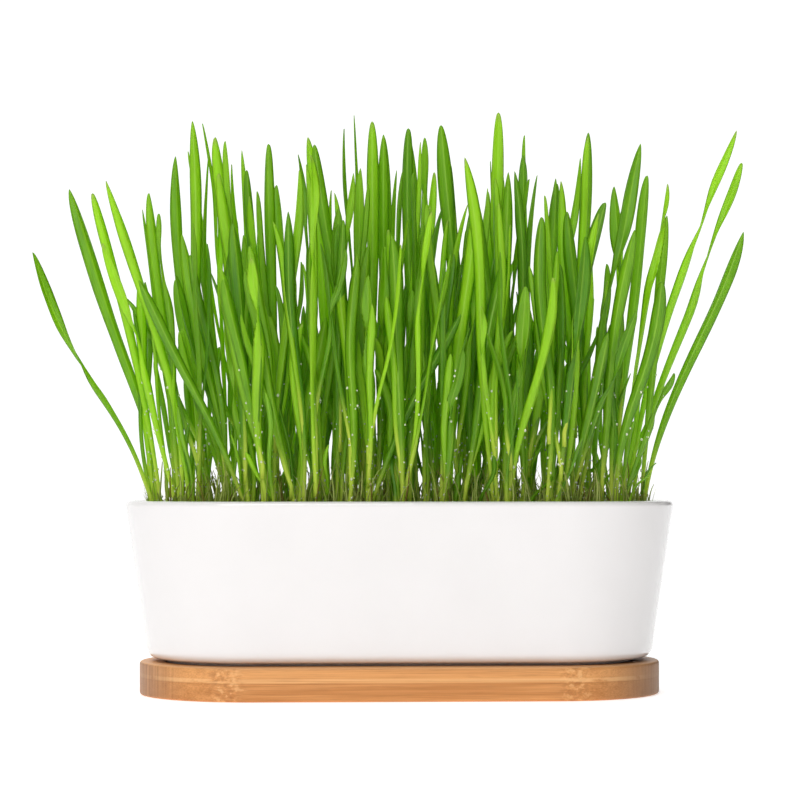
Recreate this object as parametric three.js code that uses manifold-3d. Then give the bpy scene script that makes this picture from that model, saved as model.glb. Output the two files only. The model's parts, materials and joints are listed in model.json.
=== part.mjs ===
// Wheatgrass growing in a long glazed pot with round ends, which stands on a bamboo tray.
// Millimetres, +Z up. The origin is the middle of the tray's underside, and the long side lies along X.
import * as THREE from "three";
import { mergeVertices } from "three/addons/utils/BufferGeometryUtils.js";
import Module from "manifold-3d";

const wasm = await Module();
wasm.setup();

// Pot
const RIM_LENGTH = 165.8;
const RIM_DEPTH = 76.8;
const RIM_HEIGHT = 58.1; // above the surface that the tray lies on
const WALL = 3.6;
const WALL_LEAN = 0.146; // outwards, for each millimetre of height
const POT_UNDERSIDE = 10.8;
const POT_CORNER = 3; // rounding between the underside and the wall
const POT_FLOOR = 4.5;
const FOOT_OUTER = 26; // the foot ring's radii about the pot's middle line
const FOOT_INNER = 22.5;
const DRAIN_RADIUS = 5;
const ROUND_SIDES = 30; // around the pot, the soil and the tray

// Tray
const TRAY_LENGTH = 156.8;
const TRAY_HEIGHT = 10;
const TRAY_EDGE = 1; // eased edges
const RECESS_DEPTH = 1.2; // takes the pot's foot ring
const RECESS_GAP = 0.8;

// Soil
const SOIL_BELOW_RIM = 3.5;
const FIT_GAP = 0.3; // between pieces that touch

// Grass tufts, in rows that are staggered as in a honeycomb
const TUFT_PITCH = 14;
const TUFT_RADIUS = 6.1;
const ROOT_DEPTH = 5;
const TUFT_SIDES = 8;
const ROOT_MARGIN = 1.5; // from a stem's middle to the side of its tuft's roots
const SEEDLINGS_PER_TUFT = 5;
const TRIES = 60; // draws for one blade before it is left out

// Blades
const BLADE_THICKNESS = 0.8;
const STEM_THICKNESS = 1.7;
const STEM_HALF_WIDTH = 1.15;
const BLADE_GAP = 1.3; // least distance between the middle planes of two blades
const BLADE_FOLD = 0.3; // how far the edges rise, as a share of the half width
const SLICE_STEP = 4; // heights at which blades are compared
const TALLEST = 180;
const STATIONS = [0, 0.2, 0.5, 0.8, 0.94]; // sections along a blade, before its tip
const STEM_SUNK = 4; // below the place that a stem or leaf grows from
const STEM_END = 0.08; // share of the length where the stem opens
const LEAF_OPEN = 0.5; // where the leaf has its full width
const TIP_START = 0.78; // where it begins to narrow to the tip
const TIP_SHAPE = 0.7; // under 1 makes a fuller tip
const FORK_SHARE = 0.24; // seedlings with a second leaf
const FORK_FOLLOW = 0.5; // how much a second leaf leans along with the first
const FILL_SPREAD_X = 1.1; // how far tips of the fill stand outside their roots
const FILL_SPREAD_Y = 1.15;
const FILL_END_DROP = 0.06; // the fill's loss of height towards the ends, for each millimetre

// Lowest and highest draws: millimetres, degrees, and shares of the length
const LEADER_DRAWS = {
  rootDepth: [-4, 4],
  tipDepth: [-7, 7],
  bend: [-0.04, 0.04],
  sway: [-0.6, 0.6],
  turn: [-12, 12],
  twist: [-25, 25],
};
const FILL_DRAWS = {
  root: [-5, 5],
  tipX: [-12, 12],
  tipY: [-10, 10],
  height: [52, 106],
  halfWidth: [1.4, 2.5],
  bend: [1, 1.6],
  sway: [-1.2, 1.2],
  facing: [-75, 75],
  twist: [-45, 45],
};
const FORK_DRAWS = {
  start: [0.14, 0.3],
  away: [0, 360],
  lean: [9, 20],
  height: [30, 62],
  halfWidth: [1.2, 1.9],
  bend: [0.85, 1.1],
  turn: [-29, 29],
  twist: [-40, 40],
};

// Leading blades, as they stand from the front:
// row, root x, tip x, tip z, half width, bend, facing in degrees, sway.
// A bend over 1 curves away from upright towards the tip. Facing 0 turns the flat side to the front.
// Sway moves the lower half towards +X and the upper half towards -X.
const SIGHT = 800; // distance from which the leading blades' outline is seen
const SIGHT_SLANT = 0.044; // the view comes from a little to the left
const LEADERS = [
  [0, -75, -111, 133, 2.0, 0.92, 35, 2.4],
  [0, -74, -100, 152, 2.4, 1.5, 10, 1],
  [0, -72, -93, 151, 1.7, 1.3, 40],
  [-1, -66, -89, 155, 1.9, 1.9, 20],
  [-1, -68, -90, 136, 1.8, 1.3, -20],
  [0, -68, -76, 151, 1.9, 1.5, 25],
  [1, -66, -78, 146, 1.1, 1.3, 70],
  [-1, -66, -73, 145, 1.5, 1.2, -35],
  [1, -63, -68, 162, 2.0, 1.2, 5],
  [0, -61, -63, 173, 1.9, 1.1, 10],
  [2, -55, -60, 172, 1.0, 1.1, 75],
  [1, -58, -58, 163, 1.2, 1, 60],
  [1, -43, -56, 168, 2.3, 1.1, 15],
  [0, -46, -53, 167, 1.7, 1.1, -30],
  [2, -41, -48, 164, 1.3, 1.2, 55],
  [1, -39, -40, 166, 1.9, 1, 0],
  [1, -21, -31, 163, 1.6, 1.1, 20],
  [2, -17, -28, 168, 2.2, 1.1, 10],
  [0, -8, -26, 166, 2.0, 1.15, 15],
  [2, -8, -14, 175, 0.9, 1.2, 70],
  [1, -9, -8.5, 173, 2.1, 1, 5],
  [2, -5, -5, 169, 1.9, 1, -15],
  [0, -14, -12, 159, 1.8, 1.1, 20],
  [1, 2, 2.5, 171, 2.0, 1.1, 10],
  [2, -1, -1, 158, 1.2, 1, 50],
  [2, 13, 7.5, 168, 1.8, 1.1, 20],
  [1, 22, 12.5, 172, 2.6, 1.2, 10],
  [2, 8, 7, 154, 1.0, 1, 65],
  [0, 17, 23, 150, 1.9, 1.1, -15],
  [-1, 34, 23.5, 150, 2.0, 1.1, 20],
  [2, 31, 27.5, 161, 1.0, 1.2, 70],
  [1, 30, 30, 176, 2.0, 1, 5],
  [0, 35, 33, 158, 1.9, 1, -20],
  [2, 41, 38, 169, 1.2, 1.2, 55],
  [1, 40, 37.5, 163, 2.1, 1, 10],
  [1, 46, 47.5, 156, 1.6, 1.1, 30],
  [0, 48, 44, 151, 1.3, 1.2, -45],
  [2, 47, 55, 162, 1.5, 1.2, 30],
  [1, 55, 57.5, 170, 2.0, 1, 0],
  [0, 58, 51, 146, 2.2, 1.1, -10],
  [-1, 54, 73.5, 167, 2.3, 1.05, 10],
  [1, 68, 75.5, 157, 1.9, 1.2, 15],
  [0, 74, 81.5, 145, 1.6, 1.3, 20],
  [0, 69, 103, 171, 1.9, 1.35, 25],
  [0, 71, 104.5, 161, 1.8, 1.2, 5, -0.8],
  [0, 75, 105, 140, 2.1, 1.22, -10, -1.2],
  [1, 61, 63, 130, 1.7, 1.1, 20],
  [-1, 63, 64.5, 109, 1.6, 1.1, -20],
  [-2, -8, 18.5, 115, 1.8, 1.25, -10],
  [-2, 11, 19, 104, 1.8, 1.1, 25],
  [-2, -52, -79, 125, 1.9, 1.1, 15],
  [-2, -32, -47, 128, 1.9, 1.1, 10],
  [-1, 66, 83.5, 97, 1.5, 1.3, 10],
  [0, -75, -79, 125, 1.7, 0.9, 15],
  [1, -40, -46.5, 158, 1.6, 1.1, 20],
];

const HALF_STRAIGHT = (RIM_LENGTH - RIM_DEPTH) / 2;
const RIM_RADIUS = RIM_DEPTH / 2;
const TRAY_RADIUS = TRAY_LENGTH / 2 - HALF_STRAIGHT;
const RECESS_FLOOR = TRAY_HEIGHT - RECESS_DEPTH;
const SOIL_TOP = RIM_HEIGHT - SOIL_BELOW_RIM;
const INNER_FLOOR = POT_UNDERSIDE + POT_FLOOR;

// The pot's outer and inner walls: radius about its middle line at height z.
const outerRadius = (z) => RIM_RADIUS - WALL_LEAN * (RIM_HEIGHT - z);
const innerRadius = (z) => outerRadius(z) - WALL;

// Materials
const finish = (color, roughness) => new THREE.MeshStandardMaterial({ color, roughness, metalness: 0 });
const bamboo = finish(0xd9a066, 0.55);
const whiteGlaze = finish(0xf6f3f2, 0.2);
const darkSoil = finish(0x3a2a1c, 0.95);
const grassGreen = finish(0x4f9a1e, 0.5);

// Solids and meshes
function solidOf(geometry) {
  const bare = geometry.clone();
  bare.deleteAttribute("normal");
  bare.deleteAttribute("uv");
  const merged = mergeVertices(bare, 1e-4);
  return new wasm.Manifold(
    new wasm.Mesh({
      numProp: 3,
      vertProperties: merged.attributes.position.array,
      triVerts: new Uint32Array(merged.index.array),
    }),
  );
}

function geometryOf(solid) {
  const mesh = solid.getMesh();
  const geometry = new THREE.BufferGeometry();
  geometry.setAttribute("position", new THREE.BufferAttribute(mesh.vertProperties, 3));
  geometry.setIndex(new THREE.BufferAttribute(mesh.triVerts, 1));
  geometry.computeVertexNormals();
  return geometry;
}

function namedMesh(name, geometry, material) {
  const mesh = new THREE.Mesh(geometry, material);
  mesh.name = name;
  return mesh;
}

// A profile turned about the upright axis, then pulled apart along X: round becomes long with round ends.
function longRound(profile) {
  const halfStep = Math.PI / ROUND_SIDES;
  const geometry = new THREE.LatheGeometry(profile, ROUND_SIDES, halfStep);
  geometry.rotateX(Math.PI / 2);
  const position = geometry.getAttribute("position");
  for (let i = 0; i < position.count; i++) {
    const x = position.getX(i);
    if (Math.abs(x) > 1e-3) position.setX(i, x + Math.sign(x) * HALF_STRAIGHT);
  }
  return geometry;
}

// Tray: a board with eased edges and a shallow recess for the foot ring
function trayGeometry() {
  const recess = FOOT_OUTER + RECESS_GAP;
  const outline = new THREE.Path();
  outline.moveTo(0, 0);
  outline.lineTo(TRAY_RADIUS - TRAY_EDGE, 0);
  outline.quadraticCurveTo(TRAY_RADIUS, 0, TRAY_RADIUS, TRAY_EDGE);
  outline.lineTo(TRAY_RADIUS, TRAY_HEIGHT - TRAY_EDGE);
  outline.quadraticCurveTo(TRAY_RADIUS, TRAY_HEIGHT, TRAY_RADIUS - TRAY_EDGE, TRAY_HEIGHT);
  outline.lineTo(recess, TRAY_HEIGHT);
  outline.lineTo(recess, RECESS_FLOOR);
  outline.lineTo(0, RECESS_FLOOR);
  return longRound(outline.getPoints(2));
}

// Pot: underside with foot ring, leaning wall, rounded lip, inside wall and floor
function potGeometry() {
  const lip = WALL / 2;
  const cornerTop = POT_UNDERSIDE + POT_CORNER;
  const outline = new THREE.Path();
  outline.moveTo(0, POT_UNDERSIDE);
  outline.lineTo(FOOT_INNER, POT_UNDERSIDE);
  outline.lineTo(FOOT_INNER, RECESS_FLOOR);
  outline.lineTo(FOOT_OUTER, RECESS_FLOOR);
  outline.lineTo(FOOT_OUTER, POT_UNDERSIDE);
  outline.lineTo(outerRadius(POT_UNDERSIDE) - POT_CORNER, POT_UNDERSIDE);
  outline.quadraticCurveTo(outerRadius(POT_UNDERSIDE), POT_UNDERSIDE, outerRadius(cornerTop), cornerTop);
  outline.lineTo(outerRadius(RIM_HEIGHT - lip), RIM_HEIGHT - lip);
  outline.quadraticCurveTo(RIM_RADIUS, RIM_HEIGHT, RIM_RADIUS - lip, RIM_HEIGHT);
  outline.quadraticCurveTo(RIM_RADIUS - WALL, RIM_HEIGHT, innerRadius(RIM_HEIGHT - lip), RIM_HEIGHT - lip);
  outline.lineTo(innerRadius(INNER_FLOOR + POT_CORNER), INNER_FLOOR + POT_CORNER);
  const floorRadius = innerRadius(INNER_FLOOR);
  outline.quadraticCurveTo(floorRadius, INNER_FLOOR, floorRadius - POT_CORNER, INNER_FLOOR);
  outline.lineTo(0, INNER_FLOOR);
  const pot = solidOf(longRound(outline.getPoints(3)));
  const drain = new THREE.CylinderGeometry(DRAIN_RADIUS, DRAIN_RADIUS, 3 * POT_FLOOR, 16);
  drain.rotateX(Math.PI / 2);
  drain.translate(0, 0, POT_UNDERSIDE + POT_FLOOR / 2);
  return geometryOf(pot.subtract(solidOf(drain)));
}

// Tufts' places: staggered rows along X, kept inside the pot's wall
function tuftPlaces() {
  const reach = innerRadius(SOIL_TOP - ROOT_DEPTH) - TUFT_RADIUS - 5 * FIT_GAP;
  const rowStep = TUFT_PITCH * Math.sin(Math.PI / 3);
  const places = [];
  for (let row = -2; row <= 2; row++) {
    const y = row * rowStep;
    const endX = HALF_STRAIGHT + Math.sqrt(reach * reach - y * y);
    const shift = row % 2 === 0 ? 0 : 0.5;
    const first = Math.ceil(-endX / TUFT_PITCH - shift);
    for (let column = first; (column + shift) * TUFT_PITCH <= endX; column++) {
      places.push({ row, x: (column + shift) * TUFT_PITCH, y, blades: [] });
    }
  }
  return places;
}

// A plain upright plug with few sides, from z low to z high
function plug(place, radius, low, high) {
  const geometry = new THREE.CylinderGeometry(radius, radius, high - low, TUFT_SIDES);
  geometry.rotateX(Math.PI / 2);
  geometry.translate(place.x, place.y, (low + high) / 2);
  return solidOf(geometry);
}

// Soil: fills the pot, with a plain hole for each tuft's roots
function soilGeometry(places) {
  const low = INNER_FLOOR + FIT_GAP;
  const cornerTop = INNER_FLOOR + POT_CORNER;
  const outline = new THREE.Path();
  outline.moveTo(0, low);
  outline.lineTo(innerRadius(INNER_FLOOR) - POT_CORNER - FIT_GAP, low);
  outline.lineTo(innerRadius(cornerTop) - 4 * FIT_GAP, cornerTop);
  outline.lineTo(innerRadius(SOIL_TOP) - FIT_GAP, SOIL_TOP);
  outline.lineTo(0, SOIL_TOP);
  const fill = solidOf(longRound(outline.getPoints()));
  const holeFloor = SOIL_TOP - ROOT_DEPTH - FIT_GAP;
  return geometryOf(
    places.reduce(
      (soil, place) => soil.subtract(plug(place, TUFT_RADIUS + FIT_GAP, holeFloor, SOIL_TOP + 1)),
      fill,
    ),
  );
}

// Seeded draws between a lowest and a highest value, by the minimal standard generator
let seed = 4721;
function draw([low, high]) {
  seed = (seed * 48271) % 2147483647;
  return low + ((high - low) * seed) / 2147483647;
}
const drawAngle = (degrees) => THREE.MathUtils.degToRad(draw(degrees));

// A blade runs from its root to its tip. Its height grows evenly with t from 0 to 1, and it leans by t
// to the power of its bend, with a sway to both sides along X. Its width lies level, along an angle that
// turns by its twist.
const heightAt = (blade, t) => blade.low + (blade.tip.z - blade.low) * t;
const leanAt = (blade, t) => Math.pow(t, blade.bend);
const swayAt = (blade, t) => blade.sway * Math.sin(2 * Math.PI * t);
const centreAt = (blade, t) =>
  new THREE.Vector3(
    blade.root.x + (blade.tip.x - blade.root.x) * leanAt(blade, t) + swayAt(blade, t),
    blade.root.y + (blade.tip.y - blade.root.y) * leanAt(blade, t),
    heightAt(blade, t),
  );
const angleAt = (blade, t) => blade.face + blade.twist * t;
const openingAt = (t) => THREE.MathUtils.smoothstep(t, STEM_END, LEAF_OPEN);

// Half the width: a slim stem that opens into the blade, then a pointed tip
function halfWidthAt(blade, t) {
  const toTip = Math.max(0, (t - TIP_START) / (1 - TIP_START));
  const stem = Math.min(STEM_HALF_WIDTH, blade.halfWidth);
  const open = stem + (blade.halfWidth - stem) * openingAt(t);
  return open * Math.pow(Math.max(0, 1 - toTip * toTip), TIP_SHAPE);
}

// The blade's level cuts at fixed heights: middle, direction of its width, and half width
function slicesOf(blade) {
  const slices = [];
  for (let z = SOIL_TOP + SLICE_STEP / 2; z < TALLEST; z += SLICE_STEP) {
    const t = (z - blade.low) / (blade.tip.z - blade.low);
    if (t < 0 || t > 1) {
      slices.push(null);
      continue;
    }
    const centre = centreAt(blade, t);
    const angle = angleAt(blade, t);
    const w = halfWidthAt(blade, t);
    slices.push({ x: centre.x, y: centre.y, ux: Math.cos(angle), uy: Math.sin(angle), w });
  }
  return slices;
}

// Distance from a point to a cut
function pointToCut(x, y, cut) {
  const along = (x - cut.x) * cut.ux + (y - cut.y) * cut.uy;
  const held = THREE.MathUtils.clamp(along, -cut.w, cut.w);
  return Math.hypot(x - cut.x - held * cut.ux, y - cut.y - held * cut.uy);
}

// Whether cut b's ends lie on both sides of cut a's line
function straddles(a, b) {
  const middle = (b.x - a.x) * a.uy - (b.y - a.y) * a.ux;
  const swing = b.w * (b.ux * a.uy - b.uy * a.ux);
  return (middle - swing) * (middle + swing) < 0;
}

function cutsAreClear(a, b) {
  if (Math.hypot(a.x - b.x, a.y - b.y) > a.w + b.w + BLADE_GAP) return true;
  if (straddles(a, b) && straddles(b, a)) return false;
  return [-1, 1].every(
    (side) =>
      pointToCut(a.x + side * a.w * a.ux, a.y + side * a.w * a.uy, b) >= BLADE_GAP &&
      pointToCut(b.x + side * b.w * b.ux, b.y + side * b.w * b.uy, a) >= BLADE_GAP,
  );
}

// Whether a stem passes inside the pot's lip
function clearsLip(blade) {
  const t = Math.max(0, (RIM_HEIGHT - blade.low) / (blade.tip.z - blade.low));
  const centre = centreAt(blade, t);
  const fromMiddle = Math.hypot(Math.max(0, Math.abs(centre.x) - HALF_STRAIGHT), centre.y);
  return fromMiddle + STEM_HALF_WIDTH + 4 * FIT_GAP < innerRadius(RIM_HEIGHT);
}

const grown = [];
function standsClear(blade) {
  blade.slices = slicesOf(blade);
  return (
    clearsLip(blade) &&
    grown.every(
      (other) =>
        other === blade.parent ||
        blade.slices.every((cut, i) => !cut || !other.slices[i] || cutsAreClear(cut, other.slices[i])),
    )
  );
}

// Draws a blade until it stands clear of those already grown, and keeps it in its tuft
function grow(place, sketch) {
  for (let i = 0; i < TRIES; i++) {
    const blade = sketch();
    if (standsClear(blade)) {
      grown.push(blade);
      place.blades.push(blade);
      return blade;
    }
  }
  return null;
}

// A root's place, held far enough inside its tuft's plug for the stem to be sunk in it
function rootIn(place, x, y) {
  const offset = new THREE.Vector2(x - place.x, y - place.y);
  return offset.clampLength(0, TUFT_RADIUS * Math.cos(Math.PI / TUFT_SIDES) - ROOT_MARGIN).add(place);
}

// A leading blade stands in the tuft of its row that is nearest to its root
function growLeader(places, [row, rootX, tipX, tipZ, halfWidth, bend, facing, sway = 0]) {
  const inRow = places.filter((place) => place.row === row);
  const place = inRow.reduce((a, b) => (Math.abs(b.x - rootX) < Math.abs(a.x - rootX) ? b : a));
  return grow(place, () => {
    const root = rootIn(place, rootX, place.y + draw(LEADER_DRAWS.rootDepth));
    const tipY = root.y + draw(LEADER_DRAWS.tipDepth);
    const depth = 1 + tipY / SIGHT;
    return {
      root,
      low: SOIL_TOP,
      tip: new THREE.Vector3(tipX * depth + SIGHT_SLANT * tipY, tipY, SOIL_TOP + (tipZ - SOIL_TOP) * depth),
      halfWidth,
      bend: bend + draw(LEADER_DRAWS.bend),
      sway: sway + draw(LEADER_DRAWS.sway),
      face: THREE.MathUtils.degToRad(facing) + drawAngle(LEADER_DRAWS.turn),
      twist: drawAngle(LEADER_DRAWS.twist),
    };
  });
}

// A blade of the fill, lower than the leading ones and leaning outwards a little
function growFill(place) {
  return grow(place, () => {
    const root = rootIn(place, place.x + draw(FILL_DRAWS.root), place.y + draw(FILL_DRAWS.root));
    const tipX = root.x * FILL_SPREAD_X + draw(FILL_DRAWS.tipX);
    const tipY = root.y * FILL_SPREAD_Y + draw(FILL_DRAWS.tipY);
    const height = draw(FILL_DRAWS.height) - FILL_END_DROP * Math.abs(root.x);
    return {
      root,
      low: SOIL_TOP,
      tip: new THREE.Vector3(tipX, tipY, SOIL_TOP + height),
      halfWidth: draw(FILL_DRAWS.halfWidth),
      bend: draw(FILL_DRAWS.bend),
      sway: draw(FILL_DRAWS.sway),
      face: drawAngle(FILL_DRAWS.facing),
      twist: drawAngle(FILL_DRAWS.twist),
    };
  });
}

// A second leaf, out of the side of a stem
function growFork(place, parent) {
  return grow(place, () => {
    const from = centreAt(parent, draw(FORK_DRAWS.start));
    const away = drawAngle(FORK_DRAWS.away);
    const lean = draw(FORK_DRAWS.lean);
    return {
      parent,
      root: new THREE.Vector2(from.x, from.y),
      low: from.z,
      tip: new THREE.Vector3(
        from.x + FORK_FOLLOW * (parent.tip.x - from.x) + lean * Math.cos(away),
        from.y + FORK_FOLLOW * (parent.tip.y - from.y) + lean * Math.sin(away),
        from.z + draw(FORK_DRAWS.height),
      ),
      halfWidth: draw(FORK_DRAWS.halfWidth),
      bend: draw(FORK_DRAWS.bend),
      sway: 0,
      face: parent.face + drawAngle(FORK_DRAWS.turn),
      twist: drawAngle(FORK_DRAWS.twist),
    };
  });
}

// The blade's solid: sections with a right edge, a crease, a left edge and a keel, closed by the tip.
// The faces on both sides are split along the same diagonals, so that a twisted blade's faces never cross.
function bladeSolid(blade) {
  const points = [];
  const sections = STATIONS.length;
  const next = centreAt(blade, STATIONS[1]);
  for (const t of STATIONS) {
    const centre = centreAt(blade, t);
    const ahead = centreAt(blade, t + 0.01).sub(centreAt(blade, Math.max(0, t - 0.01)));
    const along = new THREE.Vector3(Math.cos(angleAt(blade, t)), Math.sin(angleAt(blade, t)), 0);
    const normal = ahead.clone().cross(along).normalize();
    const half = halfWidthAt(blade, t);
    const thick = THREE.MathUtils.lerp(STEM_THICKNESS, BLADE_THICKNESS, openingAt(t)) / 2;
    const rise = BLADE_FOLD * half * openingAt(t);
    if (t === 0) centre.lerp(next, -STEM_SUNK / (next.z - centre.z));
    points.push(
      centre.clone().addScaledVector(along, half).addScaledVector(normal, rise),
      centre.clone().addScaledVector(normal, thick),
      centre.clone().addScaledVector(along, -half).addScaledVector(normal, rise),
      centre.clone().addScaledVector(normal, -thick),
    );
  }
  points.push(centreAt(blade, 1));
  const faces = [];
  for (let i = 0; i + 1 < sections; i++) {
    const [right, crease, left, keel] = [0, 1, 2, 3].map((k) => 4 * i + k);
    faces.push([right, crease, crease + 4], [right, crease + 4, right + 4]);
    faces.push([crease, left, crease + 4], [left, left + 4, crease + 4]);
    faces.push([left, keel, keel + 4], [left, keel + 4, left + 4]);
    faces.push([keel, right, keel + 4], [right, right + 4, keel + 4]);
  }
  const last = 4 * (sections - 1);
  for (let k = 0; k < 4; k++) faces.push([last + k, last + ((k + 1) % 4), points.length - 1]);
  faces.push([0, 2, 1], [0, 3, 2]);
  const geometry = new THREE.BufferGeometry().setFromPoints(points);
  geometry.setIndex(faces.flat());
  return solidOf(geometry);
}

// A tuft: the root plug with its blades sunk into it
function tuftGeometry(place) {
  const roots = plug(place, TUFT_RADIUS, SOIL_TOP - ROOT_DEPTH, SOIL_TOP - FIT_GAP);
  return geometryOf(place.blades.map(bladeSolid).reduce((tuft, blade) => tuft.add(blade), roots));
}

// Assembly
const places = tuftPlaces();
LEADERS.forEach((leader) => growLeader(places, leader));
for (let round = 0; round < SEEDLINGS_PER_TUFT; round++) {
  for (const place of places) {
    if (place.blades.length > round) continue;
    const stem = growFill(place);
    if (stem && draw([0, 1]) < FORK_SHARE) growFork(place, stem);
  }
}

const planter = new THREE.Group();
planter.add(namedMesh("bamboo_tray", trayGeometry(), bamboo));
planter.add(namedMesh("ceramic_pot", potGeometry(), whiteGlaze));
planter.add(namedMesh("soil", soilGeometry(places), darkSoil));
places.forEach((place, i) => {
  const name = "grass_tuft_" + String(i + 1).padStart(2, "0");
  planter.add(namedMesh(name, tuftGeometry(place), grassGreen));
});

export default planter;
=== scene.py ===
"""Wheatgrass in a long glazed pot that stands on a bamboo tray, in a bright studio."""

import json
import math

import bpy
import numpy as np
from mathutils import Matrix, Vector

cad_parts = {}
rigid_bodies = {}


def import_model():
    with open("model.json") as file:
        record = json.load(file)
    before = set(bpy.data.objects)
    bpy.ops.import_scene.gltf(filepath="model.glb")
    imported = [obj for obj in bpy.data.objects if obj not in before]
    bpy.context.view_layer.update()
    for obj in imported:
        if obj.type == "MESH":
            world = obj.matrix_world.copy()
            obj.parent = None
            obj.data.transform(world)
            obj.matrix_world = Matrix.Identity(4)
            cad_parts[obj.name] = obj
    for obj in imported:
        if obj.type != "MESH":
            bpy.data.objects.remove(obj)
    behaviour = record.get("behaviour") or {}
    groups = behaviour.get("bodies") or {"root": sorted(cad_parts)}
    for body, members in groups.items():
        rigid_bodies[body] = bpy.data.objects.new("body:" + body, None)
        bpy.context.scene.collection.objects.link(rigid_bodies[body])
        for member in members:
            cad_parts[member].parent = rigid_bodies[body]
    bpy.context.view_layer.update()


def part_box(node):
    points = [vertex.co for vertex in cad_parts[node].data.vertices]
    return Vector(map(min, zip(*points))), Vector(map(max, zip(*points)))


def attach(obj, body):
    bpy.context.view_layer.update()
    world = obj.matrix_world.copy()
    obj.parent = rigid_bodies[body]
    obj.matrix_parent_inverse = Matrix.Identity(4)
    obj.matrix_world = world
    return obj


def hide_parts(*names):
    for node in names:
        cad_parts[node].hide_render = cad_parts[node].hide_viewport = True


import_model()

bl_info = {
    "name": "Wheatgrass tray",
    "version": (1, 0, 0),
    "blender": (4, 5, 0),
    "location": "View3D > Sidebar > Wheatgrass",
    "description": "Builds a pot of wheatgrass on a bamboo tray, and a studio around it",
    "category": "Object",
}

MM = 0.001

# The growing rule, in millimetres and degrees, as the solids follow it
RIM_LENGTH = 165.8
RIM_DEPTH = 76.8
HALF_STRAIGHT = (RIM_LENGTH - RIM_DEPTH) / 2
RIM_RADIUS = RIM_DEPTH / 2
RIM_HEIGHT = 58.1
WALL = 3.6
WALL_LEAN = 0.146
SOIL_BELOW_RIM = 3.5
SOIL_TOP = RIM_HEIGHT - SOIL_BELOW_RIM
FIT_GAP = 0.3
TUFT_PITCH = 14
TUFT_RADIUS = 6.1
TUFT_SIDES = 8
ROOT_DEPTH = 5
ROOT_MARGIN = 1.5
SEEDLINGS_PER_TUFT = 5
TRIES = 60
GROWING_SEED = 4721
STEM_HALF_WIDTH = 1.15
STEM_SUNK = 4
BLADE_GAP = 1.3
SLICE_STEP = 4
TALLEST = 180
STEM_END = 0.08
LEAF_OPEN = 0.5
TIP_START = 0.78
TIP_SHAPE = 0.7
FORK_SHARE = 0.24
FORK_FOLLOW = 0.5
FILL_SPREAD_X = 1.1
FILL_SPREAD_Y = 1.15
FILL_END_DROP = 0.06
SIGHT = 800
SIGHT_SLANT = 0.044

LEADER_DRAWS = {
    "root_depth": (-4, 4),
    "tip_depth": (-7, 7),
    "bend": (-0.04, 0.04),
    "sway": (-0.6, 0.6),
    "turn": (-12, 12),
    "twist": (-25, 25),
}
FILL_DRAWS = {
    "root": (-5, 5),
    "tip_x": (-12, 12),
    "tip_y": (-10, 10),
    "height": (52, 106),
    "half_width": (1.4, 2.5),
    "bend": (1, 1.6),
    "sway": (-1.2, 1.2),
    "facing": (-75, 75),
    "twist": (-45, 45),
}
FORK_DRAWS = {
    "start": (0.14, 0.3),
    "away": (0, 360),
    "lean": (9, 20),
    "height": (30, 62),
    "half_width": (1.2, 1.9),
    "bend": (0.85, 1.1),
    "turn": (-29, 29),
    "twist": (-40, 40),
}

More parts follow.
